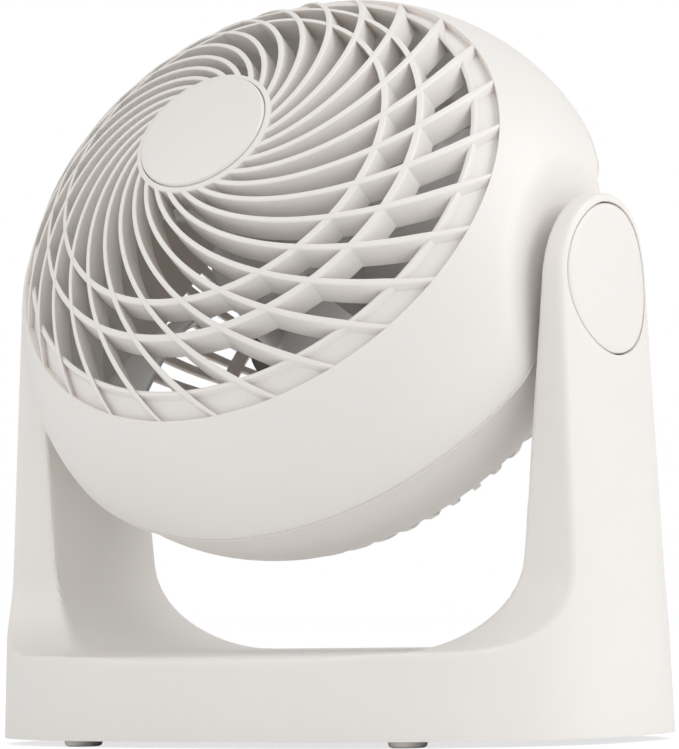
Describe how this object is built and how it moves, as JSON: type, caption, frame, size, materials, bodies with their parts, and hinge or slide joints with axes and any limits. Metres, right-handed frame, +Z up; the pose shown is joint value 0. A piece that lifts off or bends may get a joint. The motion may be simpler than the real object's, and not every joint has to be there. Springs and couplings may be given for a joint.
{
  "type": "air circulator fan",
  "caption": "Round tilting air circulator head with a spiral rib grille, held between the two uprights of a U-shaped stand on a low oval base",
  "frame": {"origin": "on the floor, under the middle of the bounding box at rest", "axes": "+X along the tilt pivot, -Y the way the grille faces, +Z up from the floor; the head leans back 35 degrees from level at rest"},
  "size_m": [0.2268, 0.1655, 0.2394],
  "materials": {
    "shell_plastic": "satin",
    "badge_plastic": "satin",
    "blade_plastic": "gloss",
    "inner_plastic": "matte",
    "foot_rubber": "matte",
    "steel": "satin",
    "motor_steel": "satin",
    "bearing_bronze": "satin",
    "bush_nylon": "satin"
  },
  "bodies": {
    "stand": {"stand_frame": "shell_plastic", "base_plate": "inner_plastic", "foot_front_left": "foot_rubber", "base_screw_front_left": "steel", "foot_front_right": "foot_rubber", "base_screw_front_right": "steel", "foot_rear_left": "foot_rubber", "base_screw_rear_left": "steel", "foot_rear_right": "foot_rubber", "base_screw_rear_right": "steel", "cord_gland": "foot_rubber", "side_cap_right": "shell_plastic", "pivot_bush_right": "bush_nylon", "side_cap_left": "shell_plastic", "pivot_bush_left": "bush_nylon"},
    "head": {"trunnion_right": "inner_plastic", "pivot_washer_right": "steel", "pivot_screw_right": "steel", "trunnion_left": "inner_plastic", "pivot_washer_left": "steel", "pivot_screw_left": "steel", "front_cover": "shell_plastic", "hub_badge": "badge_plastic", "rear_housing": "shell_plastic", "housing_screw_1": "steel", "housing_screw_2": "steel", "housing_screw_3": "steel", "housing_screw_4": "steel", "motor_rear_can": "motor_steel", "motor_front_can": "motor_steel", "motor_stator": "steel", "motor_bearing_rear": "bearing_bronze", "motor_bearing_front": "bearing_bronze", "motor_screw_1": "steel", "motor_screw_2": "steel", "motor_screw_3": "steel", "speed_switch": "inner_plastic"},
    "rotor": {"motor_shaft": "steel", "motor_rotor": "motor_steel", "impeller": "blade_plastic", "impeller_nut": "inner_plastic"},
    "knob": {"switch_spindle": "bush_nylon", "speed_knob": "shell_plastic"}
  },
  "joints": [
    {"name": "head_tilt", "type": "hinge", "parent": "stand", "child": "head", "pos_m": [0, 0.0083, 0.143], "axis": [-1, 0, 0], "range_deg": [-35, 55]},
    {"name": "fan_spin", "type": "hinge", "parent": "head", "child": "rotor", "pos_m": [0, 0.0083, 0.143], "axis": [0, -0.8192, 0.5736], "continuous": true},
    {"name": "knob_turn", "type": "hinge", "parent": "head", "child": "knob", "pos_m": [0, 0.06564, 0.10285], "axis": [0, 0.8192, -0.5736], "range_deg": [0, 90]}
  ]
}
